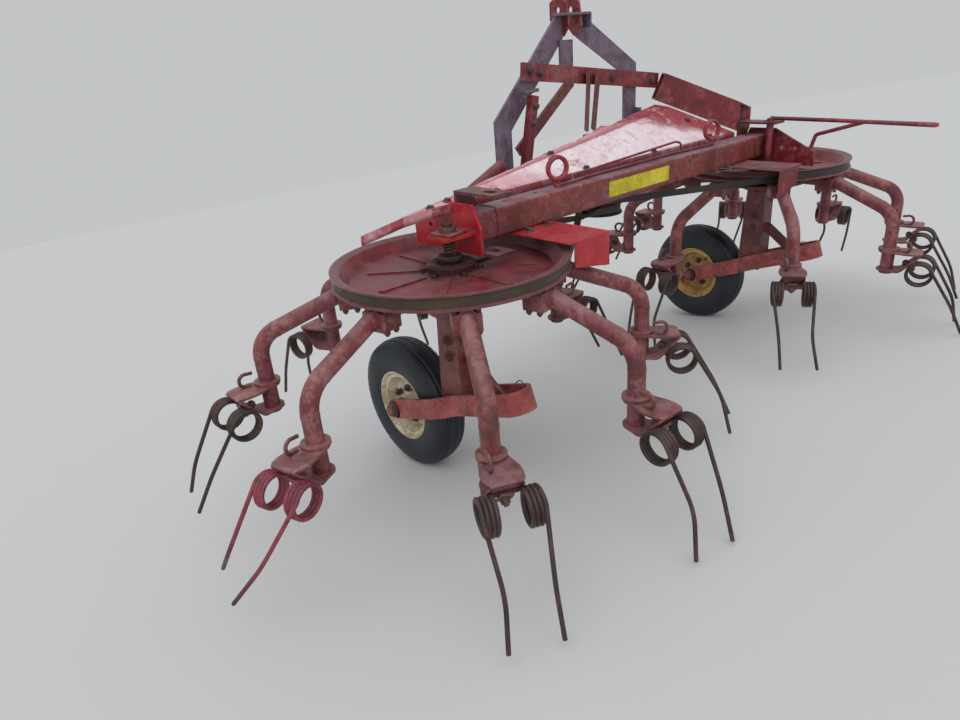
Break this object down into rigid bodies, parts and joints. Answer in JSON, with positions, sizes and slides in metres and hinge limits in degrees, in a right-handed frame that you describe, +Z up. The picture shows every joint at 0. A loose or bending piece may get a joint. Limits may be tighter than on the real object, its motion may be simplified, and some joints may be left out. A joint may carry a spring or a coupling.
{
  "type": "two-rotor hay tedder",
  "caption": "Belt-driven rotary hay tedder for a tractor's three-point linkage, with spring-tine rotors, castor wheels, a folded belt cover and a tall mast.",
  "frame": {"origin": "on the floor, under the middle of the bounding box of the whole machine", "axes": "+X from the left rotor to the right one, +Y forward to the tractor, +Z up from the floor"},
  "size_m": [3.154, 1.5442, 1.3126],
  "materials": {
    "beam_paint": "worn",
    "bright_red": "satin",
    "dull_red": "worn",
    "dark_red": "worn",
    "mast_paint": "worn",
    "sheave_red": "satin",
    "arm_paint": "worn",
    "faded_cover": "matte",
    "cream_rim": "satin",
    "yellow_rim": "worn",
    "rusty_iron": "rusty",
    "bare_steel": "worn",
    "spring_steel": "rusty",
    "worn_belt": "matte",
    "dark_belt": "matte",
    "tyre": "matte"
  },
  "bodies": {
    "frame": {"main_beam": "beam_paint", "left_bracket": "bright_red", "right_bracket": "dull_red", "left_holder": "dark_red", "right_holder": "dark_red", "diagonal_beam": "dull_red", "left_stay": "dull_red", "left_mast_leg": "mast_paint", "right_mast_leg": "mast_paint", "top_link_plates": "dull_red", "cross_strut": "dull_red", "mast_braces": "dark_red", "adjuster_bar": "dull_red", "gearbox": "dark_red", "left_belt": "worn_belt", "right_belt": "dark_belt", "belt_cover": "faded_cover", "left_guard": "bright_red", "right_guard": "dull_red", "hoop_rod": "dull_red", "spring_rods": "bright_red", "left_post": "rusty_iron", "right_post": "rusty_iron", "left_column": "dark_red", "right_column": "dark_red", "left_fork": "dark_red", "right_fork": "dark_red"},
    "left_rotor": {"left_sheave": "sheave_red", "left_arms": "arm_paint", "left_carriers": "arm_paint", "left_tines": "spring_steel"},
    "right_rotor": {"right_sheave": "sheave_red", "right_arms": "arm_paint", "right_carriers": "arm_paint", "right_tines": "spring_steel"},
    "left_wheel": {"left_tyre": "tyre", "left_rim": "cream_rim"},
    "right_wheel": {"right_tyre": "tyre", "right_rim": "yellow_rim"},
    "input_shaft": {"drive_shaft": "bare_steel"},
    "pulley": {"drive_pulley": "rusty_iron"}
  },
  "joints": [
    {"name": "left_rotor_turn", "type": "hinge", "parent": "frame", "child": "left_rotor", "pos_m": [-0.80338, -0.0713, 0.60921], "axis": [0, -0.1453, 0.9894], "continuous": true},
    {"name": "right_rotor_turn", "type": "hinge", "parent": "frame", "child": "right_rotor", "pos_m": [0.79662, -0.0713, 0.60921], "axis": [0, -0.1453, 0.9894], "continuous": true},
    {"name": "left_wheel_roll", "type": "hinge", "parent": "frame", "child": "left_wheel", "pos_m": [-0.80338, 0.24566, 0.206], "axis": [1, 0, 0], "continuous": true},
    {"name": "right_wheel_roll", "type": "hinge", "parent": "frame", "child": "right_wheel", "pos_m": [0.79662, 0.24566, 0.206], "axis": [1, 0, 0], "continuous": true},
    {"name": "shaft_turn", "type": "hinge", "parent": "frame", "child": "input_shaft", "pos_m": [-0.00338, 0.27209, 0.78297], "axis": [0, 0.9894, 0.1453], "continuous": true},
    {"name": "pulley_turn", "type": "hinge", "parent": "frame", "child": "pulley", "pos_m": [-0.00338, 0.08758, 0.66288], "axis": [0, -0.1453, 0.9894], "continuous": true}
  ]
}
